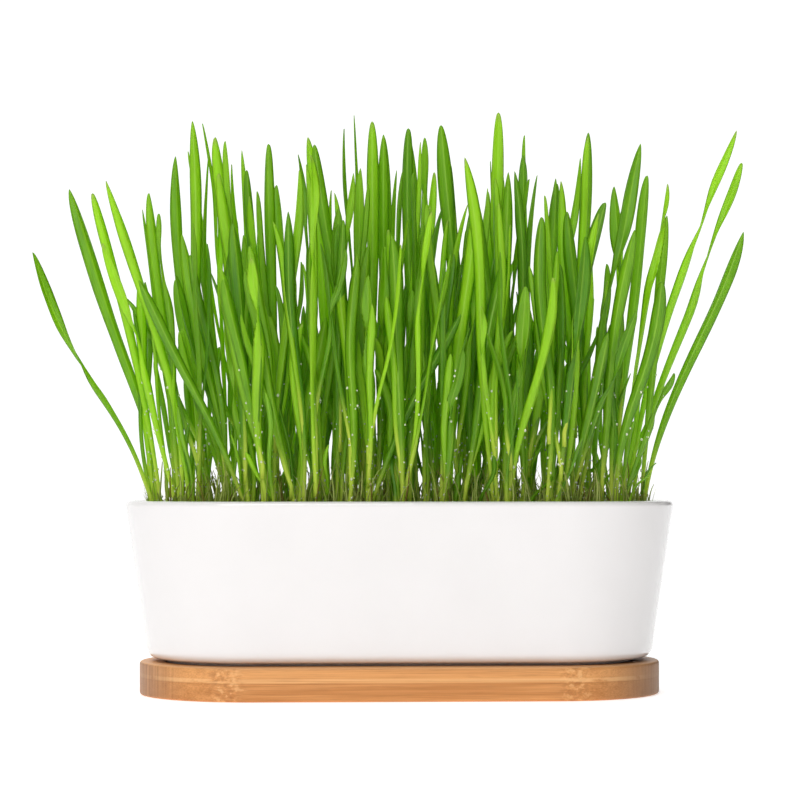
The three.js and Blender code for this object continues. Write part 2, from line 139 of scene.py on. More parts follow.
# Leading blades: row, root x, tip x, tip z, half width, bend, facing, and sway where it has one
LEADERS = (
    (0, -75, -111, 133, 2.0, 0.92, 35, 2.4),
    (0, -74, -100, 152, 2.4, 1.5, 10, 1),
    (0, -72, -93, 151, 1.7, 1.3, 40),
    (-1, -66, -89, 155, 1.9, 1.9, 20),
    (-1, -68, -90, 136, 1.8, 1.3, -20),
    (0, -68, -76, 151, 1.9, 1.5, 25),
    (1, -66, -78, 146, 1.1, 1.3, 70),
    (-1, -66, -73, 145, 1.5, 1.2, -35),
    (1, -63, -68, 162, 2.0, 1.2, 5),
    (0, -61, -63, 173, 1.9, 1.1, 10),
    (2, -55, -60, 172, 1.0, 1.1, 75),
    (1, -58, -58, 163, 1.2, 1, 60),
    (1, -43, -56, 168, 2.3, 1.1, 15),
    (0, -46, -53, 167, 1.7, 1.1, -30),
    (2, -41, -48, 164, 1.3, 1.2, 55),
    (1, -39, -40, 166, 1.9, 1, 0),
    (1, -21, -31, 163, 1.6, 1.1, 20),
    (2, -17, -28, 168, 2.2, 1.1, 10),
    (0, -8, -26, 166, 2.0, 1.15, 15),
    (2, -8, -14, 175, 0.9, 1.2, 70),
    (1, -9, -8.5, 173, 2.1, 1, 5),
    (2, -5, -5, 169, 1.9, 1, -15),
    (0, -14, -12, 159, 1.8, 1.1, 20),
    (1, 2, 2.5, 171, 2.0, 1.1, 10),
    (2, -1, -1, 158, 1.2, 1, 50),
    (2, 13, 7.5, 168, 1.8, 1.1, 20),
    (1, 22, 12.5, 172, 2.6, 1.2, 10),
    (2, 8, 7, 154, 1.0, 1, 65),
    (0, 17, 23, 150, 1.9, 1.1, -15),
    (-1, 34, 23.5, 150, 2.0, 1.1, 20),
    (2, 31, 27.5, 161, 1.0, 1.2, 70),
    (1, 30, 30, 176, 2.0, 1, 5),
    (0, 35, 33, 158, 1.9, 1, -20),
    (2, 41, 38, 169, 1.2, 1.2, 55),
    (1, 40, 37.5, 163, 2.1, 1, 10),
    (1, 46, 47.5, 156, 1.6, 1.1, 30),
    (0, 48, 44, 151, 1.3, 1.2, -45),
    (2, 47, 55, 162, 1.5, 1.2, 30),
    (1, 55, 57.5, 170, 2.0, 1, 0),
    (0, 58, 51, 146, 2.2, 1.1, -10),
    (-1, 54, 73.5, 167, 2.3, 1.05, 10),
    (1, 68, 75.5, 157, 1.9, 1.2, 15),
    (0, 74, 81.5, 145, 1.6, 1.3, 20),
    (0, 69, 103, 171, 1.9, 1.35, 25),
    (0, 71, 104.5, 161, 1.8, 1.2, 5, -0.8),
    (0, 75, 105, 140, 2.1, 1.22, -10, -1.2),
    (1, 61, 63, 130, 1.7, 1.1, 20),
    (-1, 63, 64.5, 109, 1.6, 1.1, -20),
    (-2, -8, 18.5, 115, 1.8, 1.25, -10),
    (-2, 11, 19, 104, 1.8, 1.1, 25),
    (-2, -52, -79, 125, 1.9, 1.1, 15),
    (-2, -32, -47, 128, 1.9, 1.1, 10),
    (-1, 66, 83.5, 97, 1.5, 1.3, 10),
    (0, -75, -79, 125, 1.7, 0.9, 15),
    (1, -40, -46.5, 158, 1.6, 1.1, 20),
)


# Settings


def length(name, description, default):
    """A size in metres that the sidebar shows."""
    return bpy.props.FloatProperty(
        name=name, description=description, default=default, min=0, precision=5, unit="LENGTH"
    )


def colour(name, description, default):
    """A colour that the sidebar shows."""
    return bpy.props.FloatVectorProperty(
        name=name, description=description, default=default, min=0, max=1, size=3, subtype="COLOR"
    )


def share(name, description, default):
    """A part of a whole that the sidebar shows."""
    return bpy.props.FloatProperty(
        name=name, description=description, default=default, min=0, max=1, subtype="FACTOR"
    )


def angle(name, description, degrees):
    """An angle that the sidebar shows."""
    return bpy.props.FloatProperty(
        name=name, description=description, default=math.radians(degrees), subtype="ANGLE"
    )


def amount(name, description, default, unit="NONE"):
    """A plain amount that the sidebar shows."""
    return bpy.props.FloatProperty(name=name, description=description, default=default, min=0, unit=unit)


def number(name, description, default):
    """A count that the sidebar shows."""
    return bpy.props.IntProperty(name=name, description=description, default=default, min=0)


class TraySettings(bpy.types.PropertyGroup):
    """Sizes and colours of the bamboo tray."""

    length: length("Length", "Over the round ends", 0.1568)
    height: length("Height", "Thickness of the board", 0.010)
    edge: length("Edge", "Rounding of the board's edges", 0.001)
    recess_radius: length("Recess radius", "About the middle line", 0.0268)
    recess_depth: length("Recess depth", "Takes the pot's foot ring", 0.0012)
    light: colour("Light bamboo", "Upper ply", (0.80, 0.375, 0.125))
    dark: colour("Dark bamboo", "Lower ply", (0.50, 0.185, 0.042))
    knuckle_step: length("Knuckle step", "Between a strip's knuckles", 0.1015)


class PotSettings(bpy.types.PropertyGroup):
    """Sizes and colours of the glazed pot."""

    underside: length("Underside", "Height of the pot's underside", 0.0108)
    corner: length("Corner", "Rounding above the underside", 0.0037)
    floor: length("Floor", "Thickness of the pot's floor", 0.0045)
    foot_outer: length("Foot outside", "About the middle line", 0.026)
    foot_inner: length("Foot inside", "About the middle line", 0.0225)
    drain: length("Drain hole", "Radius of the hole in the floor", 0.005)
    glaze: colour("Glaze", "Colour of the glaze", (0.84, 0.815, 0.812))
    clay: colour("Clay", "Bare clay of the foot ring", (0.62, 0.50, 0.38))


class SoilSettings(bpy.types.PropertyGroup):
    """Look of the soil and what lies on it."""

    roughness: length("Unevenness", "Height of the clods", 0.0011)
    crumbs: number("Crumbs", "Loose crumbs on the soil", 700)
    grains: number("Grains", "Spent wheat grains on the soil", 190)
    rootlets: number("Rootlets", "Dry fibres between the stems", 1500)
    dark: colour("Dark soil", "Moist soil", (0.022, 0.013, 0.007))
    light: colour("Light soil", "Dry crumbs", (0.085, 0.052, 0.028))


class GrassSettings(bpy.types.PropertyGroup):
    """Look of the leaves."""

    slimness: share("Slimness", "Width of a leaf to that of its solid", 0.84)
    fold: share("Fold", "Rise of a leaf's edges to its half width", 0.62)
    waver: length("Waver", "Of a leaf's middle line to both sides", 0.0008)
    shoots: number("Shoots", "Young shoots in each tuft", 3)
    leaf_thickness: length("Leaf thickness", "At the midrib", 0.00030)
    stem_width: length("Stem width", "At the foot of a seedling", 0.0015)
    stem_thickness: length("Stem thickness", "Across the flat of the stem", 0.0013)
    deep: colour("Deep green", "Darkest leaves", (0.045, 0.19, 0.004))
    fresh: colour("Fresh green", "Brightest leaves", (0.48, 0.83, 0.016))
    sheath: colour("Sheath", "Pale foot of a stem", (0.95, 1.0, 0.13))
    glow: colour("Glow", "Light that comes through a leaf", (0.57, 0.93, 0.018))
    glow_share: share("Glow share", "Part of the light that goes through", 0.45)
    drops: number("Dew drops", "Drops on the stems", 2800)


class StageSettings(bpy.types.PropertyGroup):
    """Camera, light and floor."""

    distance: length("Distance", "From the camera to the middle of the pot", 0.8)
    height: length("Height", "Of the camera above the floor", 0.0661)
    turn: angle("Turn", "Camera round to the left", 2.5)
    tilt: angle("Tilt", "Camera upwards", 1.6)
    lens: amount("Lens", "Focal length in millimetres", 118.8, "CAMERA")
    surround: amount("Surround", "Light from the back", 1.12)
    front: share("Front", "Light of the front to that of the back", 0.26)
    left: share("Left", "Light kept on the left-hand side", 0.5)
    shade: share("Right", "Light kept on the right-hand side", 0.03)
    key: amount("Key light", "From the front left", 15.0, "POWER")


class WheatgrassSettings(bpy.types.PropertyGroup):
    """All settings of the planter and its studio."""

    tray: bpy.props.PointerProperty(type=TraySettings, name="Tray", description="Bamboo tray")
    pot: bpy.props.PointerProperty(type=PotSettings, name="Pot", description="Glazed pot")
    soil: bpy.props.PointerProperty(type=SoilSettings, name="Soil", description="Soil in the pot")
    grass: bpy.props.PointerProperty(type=GrassSettings, name="Grass", description="Wheatgrass")
    stage: bpy.props.PointerProperty(type=StageSettings, name="Stage", description="Studio")


# Shader maths


class Value:
    """A shader socket in Python arithmetic: each operator adds a Math node and gives its result."""

    def __init__(self, tree, socket):
        self.tree = tree
        self.socket = socket

    def node(self, kind, settings=None, inputs=None, output=0):
        """Adds a node: its settings first, then links or values for its sockets. Gives one output."""
        node = self.tree.nodes.new(kind)
        for name, value in (settings or {}).items():
            setattr(node, name, value)
        for name, value in (inputs or {}).items():
            if isinstance(value, Value):
                self.tree.links.new(value.socket, node.inputs[name])
            else:
                node.inputs[name].default_value = value
        return Value(self.tree, node.outputs[output])

    def math(self, operation, *values):
        return self.node("ShaderNodeMath", {"operation": operation}, dict(enumerate(values)))

    def __add__(self, other):
        return self.math("ADD", self, other)

    def __sub__(self, other):
        return self.math("SUBTRACT", self, other)

    def __rsub__(self, other):
        return self.math("SUBTRACT", other, self)

    def __mul__(self, other):
        return self.math("MULTIPLY", self, other)

    def __truediv__(self, other):
        return self.math("DIVIDE", self, other)

    __radd__ = __add__
    __rmul__ = __mul__

    def absolute(self):
        return self.math("ABSOLUTE", self)

    def floored(self):
        return self.math("FLOOR", self)

    def sine(self):
        return self.math("SINE", self)

    def wrapped(self, high, low):
        """Repeats the value between low and high."""
        return self.math("WRAP", self, high, low)

    def smooth(self, low, high):
        """0 below low, 1 above high, and an S-curve between."""
        settings = {"interpolation_type": "SMOOTHSTEP"}
        return self.node("ShaderNodeMapRange", settings, {"Value": self, "From Min": low, "From Max": high})

    def mix(self, first, second):
        """A colour that runs from the first, where this value is 0, to the second, where it is 1."""
        ends = [v if isinstance(v, Value) else (*v, 1) for v in (first, second)]
        inputs = {0: self, 6: ends[0], 7: ends[1]}
        return self.node("ShaderNodeMix", {"data_type": "RGBA"}, inputs, 2)

    def scaled(self, x, y, z):
        """This vector with each axis multiplied."""
        return self.node("ShaderNodeVectorMath", {"operation": "MULTIPLY"}, {0: self, 1: (x, y, z)})

    def parts(self):
        """The three numbers of this vector."""
        split = self.node("ShaderNodeSeparateXYZ", None, {0: self})
        outputs = split.socket.node.outputs
        return [Value(self.tree, outputs[i]) for i in range(3)]

    def noise(self, scale, detail=3, roughness=0.5):
        """Cloudy noise from 0 to 1 at this place."""
        inputs = {"Vector": self, "Scale": scale, "Detail": detail, "Roughness": roughness}
        return self.node("ShaderNodeTexNoise", None, inputs)

    def cells(self, scale):
        """Distance to the nearest of scattered points at this place."""
        return self.node("ShaderNodeTexVoronoi", None, {"Vector": self, "Scale": scale})


class Finish:
    """A material with one Principled shader. Constants go on its sockets, and other values are linked."""

    def __init__(self, name, **constants):
        self.material = bpy.data.materials.new(name)
        self.material.use_nodes = True
        self.tree = self.material.node_tree
        self.tree.nodes.clear()
        self.output = self.tree.nodes.new("ShaderNodeOutputMaterial")
        self.shader = self.tree.nodes.new("ShaderNodeBsdfPrincipled")
        self.tree.links.new(self.shader.outputs[0], self.output.inputs["Surface"])
        for socket, value in constants.items():
            self.shader.inputs[socket.replace("_", " ")].default_value = value
        coordinates = self.tree.nodes.new("ShaderNodeTexCoord")
        place = Value(self.tree, coordinates.outputs["Object"])
        self.place = place.scaled(1 / MM, 1 / MM, 1 / MM)
        self.facing = Value(self.tree, coordinates.outputs["Normal"])

    def attribute(self, name):
        """The piece's own attribute as a vector."""
        node = self.tree.nodes.new("ShaderNodeAttribute")
        node.attribute_name = name
        return Value(self.tree, node.outputs["Vector"])

    def link(self, **sockets):
        for socket, value in sockets.items():
            self.tree.links.new(value.socket, self.shader.inputs[socket.replace("_", " ")])

    def bump(self, height, strength, distance):
        """Raises the surface by a height from 0 to 1, times a distance in metres."""
        inputs = {"Height": height, "Strength": strength, "Distance": distance}
        self.link(Normal=height.node("ShaderNodeBump", None, inputs))

    def glow(self, rgb, part):
        """Lets a part of the light through the surface, in one colour."""
        through = self.tree.nodes.new("ShaderNodeBsdfTranslucent")
        through.inputs["Color"].default_value = (*rgb, 1)
        blend = self.tree.nodes.new("ShaderNodeMixShader")
        blend.inputs[0].default_value = part
        self.tree.links.new(self.shader.outputs[0], blend.inputs[1])
        self.tree.links.new(through.outputs[0], blend.inputs[2])
        self.tree.links.new(blend.outputs[0], self.output.inputs["Surface"])


# Width of a bamboo strip and height of the glue between the two plies, in millimetres
STRIP_WIDTH = 17
GLUE_LINE = 5.35


def bamboo_finish(tray):
    """Laminated bamboo: two plies, strips of their own shade, fibres along X, mottled knuckles,
    and streaked end grain, with a painted highlight along the top and painted shade over the
    right-hand end."""
    finish = Finish("bamboo", IOR=1.45, Coat_Roughness=0.35)
    x, y, z = finish.place.parts()
    strip = ((y + 2 * STRIP_WIDTH) / STRIP_WIDTH).floored()
    upper = z.smooth(5.2, 5.5)
    fibre = finish.place.scaled(0.03, 2.4, 2.4).noise(1, 6, 0.66)
    broad = finish.place.scaled(0.012, 0.45, 0.6).noise(1, 2)
    pores = finish.place.scaled(0.09, 5, 5).noise(1, 2).smooth(0.55, 0.72)
    own = (strip * 3.7 + upper * 1.9).sine()
    light = upper * 0.26 + own * 0.05 + (fibre - 0.5) * 1.5 + (broad - 0.5) * 0.8 + 0.42
    base = light.smooth(-0.1, 1.1).mix(tuple(tray.dark), tuple(tray.light))
    wobble = (finish.place.scaled(0.05, 0.5, 0.5).noise(1, 2) - 0.5) * 6
    step = tray.knuckle_step / MM
    along = (x + wobble + 52 + strip * 37).wrapped(step / 2, -step / 2)
    knuckle = 1 - along.absolute().smooth(1.5, 6.5)
    mottle = finish.place.scaled(0.5, 0.7, 0.7).noise(1, 5, 0.6)
    base = (knuckle * mottle.smooth(0.5, 0.62) * 0.5).mix(base, (0.40, 0.15, 0.04))
    base = (knuckle * (1 - mottle.smooth(0.36, 0.5)) * 0.6).mix(base, (0.92, 0.52, 0.22))
    base = (pores * 0.32).mix(base, (0.33, 0.125, 0.03))
    glue = 1 - (z - GLUE_LINE).absolute().smooth(0.05, 0.25)
    base = (glue * 0.25).mix(base, (0.30, 0.11, 0.025))
    seam = (1 - (z - 6.15).absolute().smooth(0.3, 0.75)) * broad.smooth(0.3, 0.55)
    base = (seam * 0.6).mix(base, (0.95, 0.55, 0.24))
    # Painted highlight: the top face and the top edge of the board are lightened towards pale orange, where
    # the light catches them.
    base = (z.smooth(9.4, 9.9) * 0.35).mix(base, (0.95, 0.58, 0.29))
    end = finish.facing.parts()[0].absolute().smooth(0.5, 0.95)
    streak = finish.place.scaled(0.9, 0.9, 0.03).noise(1, 4, 0.65).smooth(0.3, 0.7)
    grain = streak.mix((0.24, 0.10, 0.04), (0.52, 0.27, 0.12))
    base = (end * 0.8).mix(base, grain)
    # Painted shade: past x = 52 mm the right-hand end of the board is darkened towards grey-brown, where
    # the light falls off.
    base = (x.smooth(52, 72) * 0.5).mix(base, (0.24, 0.135, 0.07))
    finish.link(Base_Color=base, Roughness=fibre * 0.22 + 0.36)
    finish.bump(fibre * 0.6 - pores * 0.5 - glue * 0.3 + knuckle * mottle * 0.5, 0.5, 0.00012)
    return finish.material


def glaze_finish(pot):
    """White glaze: softly uneven, a little warmer along the lip, and bare clay under the foot."""
    finish = Finish("white_glaze", IOR=1.5, Coat_Roughness=0.04, Coat_IOR=1.5)
    z = finish.place.parts()[2]
    cloud = finish.place.noise(0.05, 3)
    specks = finish.place.cells(0.55).smooth(0.10, 0.02)
    bare = 1 - z.smooth(9.1, 9.6)
    lip = z.smooth(55.5, 58.0)
    glaze = np.array(pot.glaze)
    base = cloud.mix(tuple(glaze * 0.975), tuple(np.minimum(glaze * 1.03, 0.94)))
    base = (lip * 0.35).mix(base, (0.93, 0.905, 0.87))
    base = (specks * 0.10).mix(base, (0.55, 0.45, 0.36))
    base = bare.mix(base, tuple(pot.clay))
    grain = finish.place.noise(2.2, 3)
    roughness = bare * 0.6 + cloud * 0.07 + 0.10
    finish.link(Base_Color=base, Roughness=roughness, Coat_Weight=0.4 - bare * 0.4)
    finish.bump(finish.place.noise(0.10, 1) * 0.9 + grain * 0.02 + bare * grain, 0.35, 0.0006)
    return finish.material


def soil_finish(soil):
    """Moist soil: dark, with paler dry crumbs and a coarse grain."""
    finish = Finish("soil", IOR=1.4)
    clods = finish.place.noise(0.5, 6, 0.65)
    grit = finish.place.noise(2.4, 4, 0.7)
    base = (clods * 0.6 + grit * 0.6).smooth(0.42, 0.86).mix(tuple(soil.dark), tuple(soil.light))
    bits = finish.place.cells(0.34).smooth(0.16, 0.08) * grit.smooth(0.5, 0.62)
    base = (bits * 0.55).mix(base, (0.30, 0.22, 0.13))
    finish.link(Base_Color=base, Roughness=grit * 0.3 + 0.62)
    finish.bump(clods + grit * 0.6, 0.9, 0.0012)
    return finish.material


def grass_finish(grass):
    """Leaves: each of its own green, pale at the foot, with fine veins and a light midrib. Some light
    comes through."""
    finish = Finish("grass", IOR=1.42, Specular_IOR_Level=0.8)
    across, along, tone = finish.attribute("leaf").parts()
    mottle = finish.place.scaled(0.5, 0.5, 0.07).noise(1, 3)
    veins = (across * 26).sine() * 0.5 + 0.5
    midrib = 1 - across.absolute().smooth(0.03, 0.17)
    green = (tone + (mottle - 0.5) * 0.55).mix(tuple(grass.deep), tuple(grass.fresh))
    young = (1 - along.smooth(0.02, 0.30)) * 0.95
    green = young.mix(green, tuple(grass.sheath))
    green = (veins * 0.2).mix(green, (0.52, 0.82, 0.045))
    green = (midrib * along.smooth(0.1, 0.4) * 0.4).mix(green, (0.62, 0.88, 0.11))
    dry = along.smooth(0.965, 1.0) * tone.smooth(0.55, 0.9)
    green = (dry * 0.6).mix(green, (0.50, 0.46, 0.16))
    finish.link(Base_Color=green, Roughness=mottle * 0.2 + 0.33)
    finish.bump(veins * 0.6 - midrib * 0.8 + mottle * 0.4, 0.35, 0.00012)
    finish.glow(grass.glow, grass.glow_share)
    return finish.material


def rootlet_finish():
    """Dry rootlets and old sheaths: olive to pale straw green."""
    finish = Finish("rootlets", IOR=1.4, Specular_IOR_Level=0.3)
    tone = finish.attribute("leaf").parts()[2]
    streak = finish.place.scaled(1.5, 1.5, 0.4).noise(1, 3)
    base = (tone * tone * 0.9 + streak * 0.3).mix((0.24, 0.33, 0.04), (0.88, 0.93, 0.34))
    base = (1 - tone.smooth(0.1, 0.14)).mix(base, (0.26, 0.13, 0.05))
    finish.link(Base_Color=base, Roughness=streak * 0.3 + 0.5)
    finish.glow((0.66, 0.78, 0.16), 0.5)
    return finish.material


def grain_finish():
    """Spent wheat grains: tan husks with darker ends and lengthwise wrinkles."""
    finish = Finish("wheat_grains", IOR=1.45)
    along, around, tone = finish.attribute("leaf").parts()
    wrinkle = (around * 40).sine() * 0.5 + 0.5
    stain = finish.place.noise(0.9, 4)
    base = (tone * 0.6 + stain * 0.5).mix((0.20, 0.10, 0.035), (0.52, 0.34, 0.15))
    base = (along.absolute().smooth(0.7, 1.0) * 0.6).mix(base, (0.10, 0.055, 0.02))
    finish.link(Base_Color=base, Roughness=stain * 0.2 + 0.5)
    finish.bump(wrinkle * 0.5 + stain, 0.5, 0.0001)
    return finish.material


def dew_finish():
    """Water drops: a pale green-white body colour is painted in for their highlights and for the reflection
    of the leaves about them.
    """
    finish = Finish("dew", IOR=1.33, Transmission_Weight=0.28, Base_Color=(0.96, 1, 0.72, 1))
    film = finish.place.noise(1.5, 2)
    finish.link(Roughness=film * 0.04)
    return finish.material


def floor_finish():
    """Pale studio floor, lit from below as well so that it stays white."""
    finish = Finish("studio_floor", Emission_Color=(1, 1, 1, 1), Emission_Strength=0.58, IOR=1.3)
    paper = finish.place.noise(0.02, 2)
    white = paper.mix((0.90, 0.90, 0.90), (0.93, 0.93, 0.93))
    finish.link(Base_Color=white, Roughness=paper * 0.1 + 0.75)
    return finish.material


# Surfaces


def grid_faces(rows, columns, wrap_rows=False, wrap_columns=True):
    """Quads of a grid of points whose columns run round to the left as seen from the last row."""
    row_steps = np.arange(rows if wrap_rows else rows - 1)
    column_steps = np.arange(columns if wrap_columns else columns - 1)
    i, j = np.meshgrid(row_steps, column_steps, indexing="ij")
    up, on = (i + 1) % rows, (j + 1) % columns
    corners = [i * columns + j, i * columns + on, up * columns + on, up * columns + j]
    return np.stack(corners, -1).reshape(-1, 4)


def add_piece(name, points, faces, material, nodes=(), leaf=None, sharp=None):
    """Makes a smooth mesh from points in metres. It rides on the planter and stands for its solids."""
    mesh = bpy.data.meshes.new(name)
    mesh.from_pydata(points.tolist(), [], faces)
    mesh.materials.append(material)
    mesh.shade_smooth()
    if sharp is not None:
        mesh.set_sharp_from_angle(angle=sharp)
    if leaf is not None:
        values = mesh.attributes.new("leaf", "FLOAT_VECTOR", "POINT").data
        values.foreach_set("vector", leaf.astype(np.float32).ravel())
    mesh.validate()
    piece = bpy.data.objects.new(name, mesh)
    bpy.context.scene.collection.objects.link(piece)
    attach(piece, "root")
    if nodes:
        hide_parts(*nodes)
    return piece


def long_round(radius, height, pull, arc=48):
    """Rings with straight sides and round ends: a half circle of each radius at both ends of a
    straight stretch. Pull is 1 for the full stretch and 0 for a plain circle."""
    turn = np.concatenate([np.linspace(0, np.pi, arc), np.linspace(np.pi, 2 * np.pi, arc)])
    side = np.repeat([1.0, -1.0], arc)
    radius, height, pull = (np.asarray(v, float)[:, None] for v in (radius, height, pull))
    x = radius * np.sin(turn) + pull * HALF_STRAIGHT * MM * side
    y = -radius * np.cos(turn) + 0 * pull
    return np.stack([x, y, height + 0 * x], -1)


def rounded(start, corner, end, count=8):
    """Points of a quadratic curve from start to end, drawn towards the corner."""
    t = np.linspace(0, 1, count)[:, None]
    start, corner, end = (np.array(p, float) for p in (start, corner, end))
    return (1 - t) ** 2 * start + 2 * t * (1 - t) * corner + t**2 * end


def outer_radius(z):
    """The pot's outside, in millimetres, about its middle line at a height."""
    return RIM_RADIUS - WALL_LEAN * (RIM_HEIGHT - z)


def inner_radius(z):
    return outer_radius(z) - WALL


def ball(rows=4, columns=6):
    """Points and faces of a round grain: level rings between two closed poles, of radius 1."""
    lift = np.linspace(-np.pi / 2, np.pi / 2, rows + 2)[1:-1, None]
    turn = np.linspace(0, 2 * np.pi, columns, endpoint=False)[None]
    flat = np.cos(lift)
    rings = np.stack([flat * np.cos(turn), flat * np.sin(turn), np.sin(lift) + 0 * turn], -1)
    points = np.concatenate([rings.reshape(-1, 3), [[0, 0, -1.0], [0, 0, 1.0]]])
    low, high = rows * columns, rows * columns + 1
    around = np.arange(columns)
    after = (around + 1) % columns
    last = (rows - 1) * columns
    faces = grid_faces(rows, columns).tolist()
    faces += np.stack([np.full(columns, low), after, around], -1).tolist()
    faces += np.stack([last + around, last + after, np.full(columns, high)], -1).tolist()
    return points, faces


def repeated(faces, copies, points):
    """The faces of a shape for a number of copies that follow one another."""
    return [[v + k * points for v in face] for k in range(copies) for face in faces]


def spread_in_pot(draws, count, radius):
    """Even random places within a distance of the pot's middle line, in millimetres."""
    tries = draws.uniform(-1, 1, (count * 4, 2)) * (HALF_STRAIGHT + radius, radius)
    beyond = np.maximum(0, np.abs(tries[:, 0]) - HALF_STRAIGHT)
    return tries[np.hypot(beyond, tries[:, 1]) < radius][:count]


# Waves of the soil's clods: direction in radians and length in millimetres
CLOD_WAVES = ((0.4, 17), (1.5, 11), (2.6, 7.3), (0.9, 4.9), (2.0, 3.3), (3.0, 2.3))


def soil_height(x, y):
    """Height of the soil's clods from -1 to 1: a sum of crossing waves of falling length."""
    total = 0
    for k, (turn, size) in enumerate(CLOD_WAVES):
        place = x * math.cos(turn) + y * math.sin(turn)
        total = total + np.sin(place * 2 * np.pi / size + 1.7 * k) / (1 + 0.45 * k)
    return total / 3.4


# Growing


class Draws:
    """Seeded draws between a lowest and a highest value, by the minimal standard generator."""

    def __init__(self, seed):
        self.state = seed

    def __call__(self, ends):
        low, high = ends
        self.state = self.state * 48271 % 2147483647
        return low + (high - low) * self.state / 2147483647

    def angle(self, ends):
        return math.radians(self(ends))


def opening(t):
    """0 on the stem and 1 on the open leaf."""
    s = np.clip((np.asarray(t) - STEM_END) / (LEAF_OPEN - STEM_END), 0, 1)
    return s * s * (3 - 2 * s)


class Blade:
    """A leaf from its root to its tip. Height grows evenly with t from 0 to 1, and it leans by t to the
    power of its bend, with a sway to both sides along X. Its width lies level, along an angle that
    turns by its twist."""

    def __init__(self, root, low, tip, half_width, bend, sway, face, twist, parent=None, phase=0):
        self.root, self.low, self.tip = root, low, tip
        self.half_width, self.bend, self.sway = half_width, bend, sway
        self.face, self.twist, self.parent = face, twist, parent
        self.cuts = None
        self.phase, self.turn_at = phase, None

    def centre(self, t):
        t = np.asarray(t, float)
        lean = t**self.bend
        x = self.root[0] + (self.tip[0] - self.root[0]) * lean + self.sway * np.sin(2 * np.pi * t)
        y = self.root[1] + (self.tip[1] - self.root[1]) * lean
        return np.stack([x, y, self.low + (self.tip[2] - self.low) * t], -1)

    def angle(self, t):
        return self.face + self.twist * np.asarray(t, float)

    def half(self, t):
        """Half the width: a slim stem that opens into the leaf, then a pointed tip."""
        to_tip = np.maximum(0, (np.asarray(t, float) - TIP_START) / (1 - TIP_START))
        stem = min(STEM_HALF_WIDTH, self.half_width)
        open_half = stem + (self.half_width - stem) * opening(t)
        return open_half * np.maximum(0, 1 - to_tip * to_tip) ** TIP_SHAPE

    def across(self, t):
        """The level direction of the leaf's width."""
        angle = self.angle(t)
        return np.stack([np.cos(angle), np.sin(angle), 0 * angle], -1)

    def frame(self, t):
        """Middle, width direction and upper side's normal."""
        ahead = self.centre(np.minimum(1, t + 0.01)) - self.centre(np.maximum(0, t - 0.01))
        across = self.across(t)
        normal = np.cross(ahead, across)
        return self.centre(t), across, normal / np.linalg.norm(normal, axis=-1, keepdims=True)


LEVELS = np.arange(SOIL_TOP + SLICE_STEP / 2, TALLEST, SLICE_STEP)


def cuts_of(blade):
    """The leaf's level cuts at fixed heights: middle x and y, direction x and y, and half width."""
    t = (LEVELS - blade.low) / (blade.tip[2] - blade.low)
    inside = (t >= 0) & (t <= 1)
    t = np.clip(t, 0, 1)
    middle, direction = blade.centre(t)[:, :2], blade.across(t)[:, :2]
    cuts = np.concatenate([middle, direction, blade.half(t)[:, None]], -1)
    return np.where(inside[:, None], cuts, np.nan)


def point_to_cut(x, y, cut):
    """Distance from points to cuts: what is left after the nearest place on the cut is taken away."""
    cx, cy, ux, uy, w = cut.T
    held = np.clip((x - cx) * ux + (y - cy) * uy, -w, w)
    return np.hypot(x - cx - held * ux, y - cy - held * uy)


def straddles(a, b):
    """Whether cut b's ends lie on both sides of cut a's line."""
    ax, ay, aux, auy, _ = a.T
    bx, by, bux, buy, bw = b.T
    middle = (bx - ax) * auy - (by - ay) * aux
    swing = bw * (bux * auy - buy * aux)
    return (middle - swing) * (middle + swing) < 0


def cuts_are_clear(a, b):
    """Whether each pair of cuts keeps the leaves' gap."""
    near = np.full(len(a), np.inf)
    for side in (-1, 1):
        a_end = a[:, :2] + side * a[:, 4:] * a[:, 2:4]
        b_end = b[:, :2] + side * b[:, 4:] * b[:, 2:4]
        near = np.minimum(near, np.minimum(point_to_cut(*a_end.T, b), point_to_cut(*b_end.T, a)))
    return ~(straddles(a, b) & straddles(b, a)) & (near >= BLADE_GAP)


# Where a leading blade, by its place in the list, makes a half turn on its way up, and a cycle for
# the other blades. The length of the turn is a share of the blade's, and each blade's ripple starts
# a step further on.
HALF_TURNS = {0: 0.63, 1: None, 3: None, 43: 0.78, 44: 0.75, 45: None}
OTHER_TURNS = (None, 0.7, None, None, 0.62, None, None, 0.8, None)
TURN_LENGTH = 0.4
PHASE_STEP = 2.4


